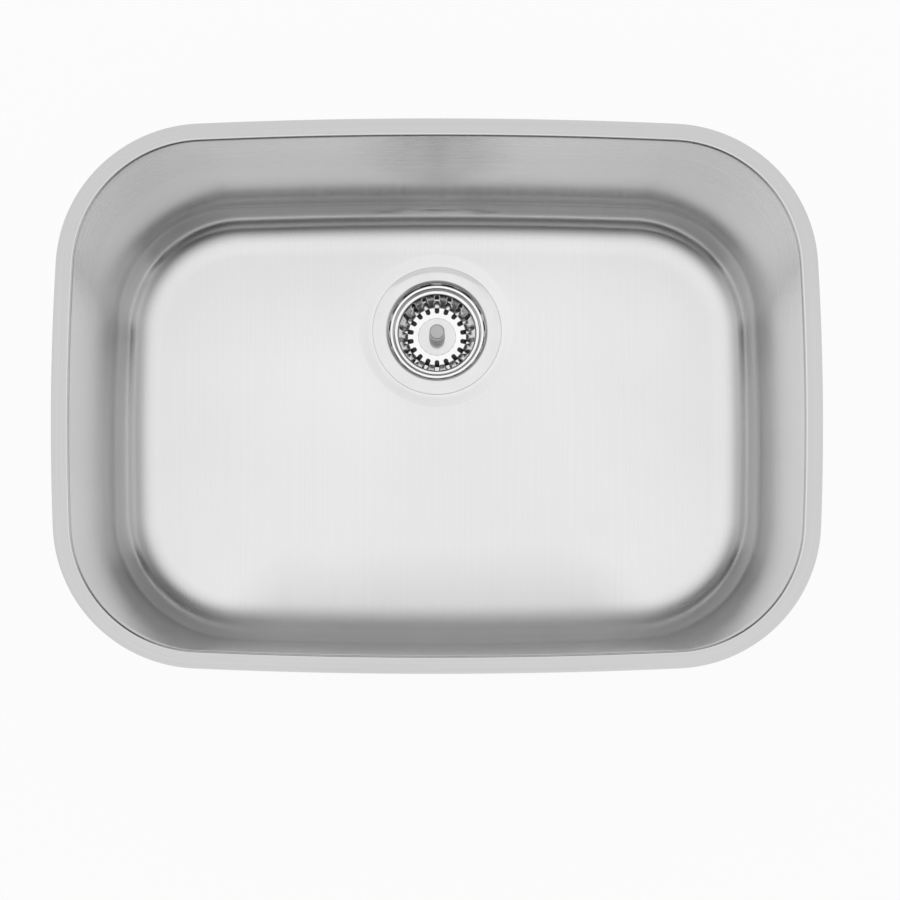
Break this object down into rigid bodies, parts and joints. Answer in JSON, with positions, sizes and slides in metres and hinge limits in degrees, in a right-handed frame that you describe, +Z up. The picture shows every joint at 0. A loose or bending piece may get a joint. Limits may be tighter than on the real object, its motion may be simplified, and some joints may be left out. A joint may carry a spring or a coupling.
{
  "type": "undermount kitchen sink",
  "caption": "Single-bowl undermount kitchen sink of drawn stainless steel, with bowed sides, rounded corners, a flat mounting flange and a lift-out basket strainer towards the back.",
  "frame": {"origin": "middle of the bowl's mouth, in the plane of the rim's top face, which seats against the underside of the counter", "axes": "+Z up, out of the bowl; +X to the right along the bowl's length; +Y to the back, where the drain is"},
  "size_m": [0.625, 0.454, 0.275],
  "materials": {
    "bowl_steel": "brushed satin stainless steel",
    "polished_steel": "polished stainless steel",
    "plated_brass": "nickel-plated brass",
    "cast_zinc": null,
    "plain_steel": "plain stainless steel",
    "pad_rubber": "matt sound-deadening pad",
    "seal_rubber": "black rubber",
    "fibre": "pressed fibre board",
    "slip_plastic": "white polythene"
  },
  "bodies": {
    "sink": {"bowl": "bowl_steel", "floor_pad": "pad_rubber", "front_pad": "pad_rubber", "rear_pad": "pad_rubber", "left_pad": "pad_rubber", "right_pad": "pad_rubber", "strainer_cup": "polished_steel", "outlet_spigot": "plated_brass", "flange_gasket": "seal_rubber", "rubber_washer": "seal_rubber", "friction_ring": "fibre", "lock_nut": "cast_zinc", "slip_washer": "slip_plastic", "coupling_nut": "plated_brass"},
    "basket_unit": {"basket": "polished_steel", "knob_plate": "polished_steel", "knob_post": "polished_steel", "stopper": "seal_rubber", "backing_washer": "plain_steel", "stem_nut": "plain_steel", "stem_grip": "seal_rubber"}
  },
  "joints": [
    {"name": "basket_lift", "type": "slide", "parent": "sink", "child": "basket_unit", "axis": [0, 0, 1], "range_m": [0, 0.27]}
  ]
}
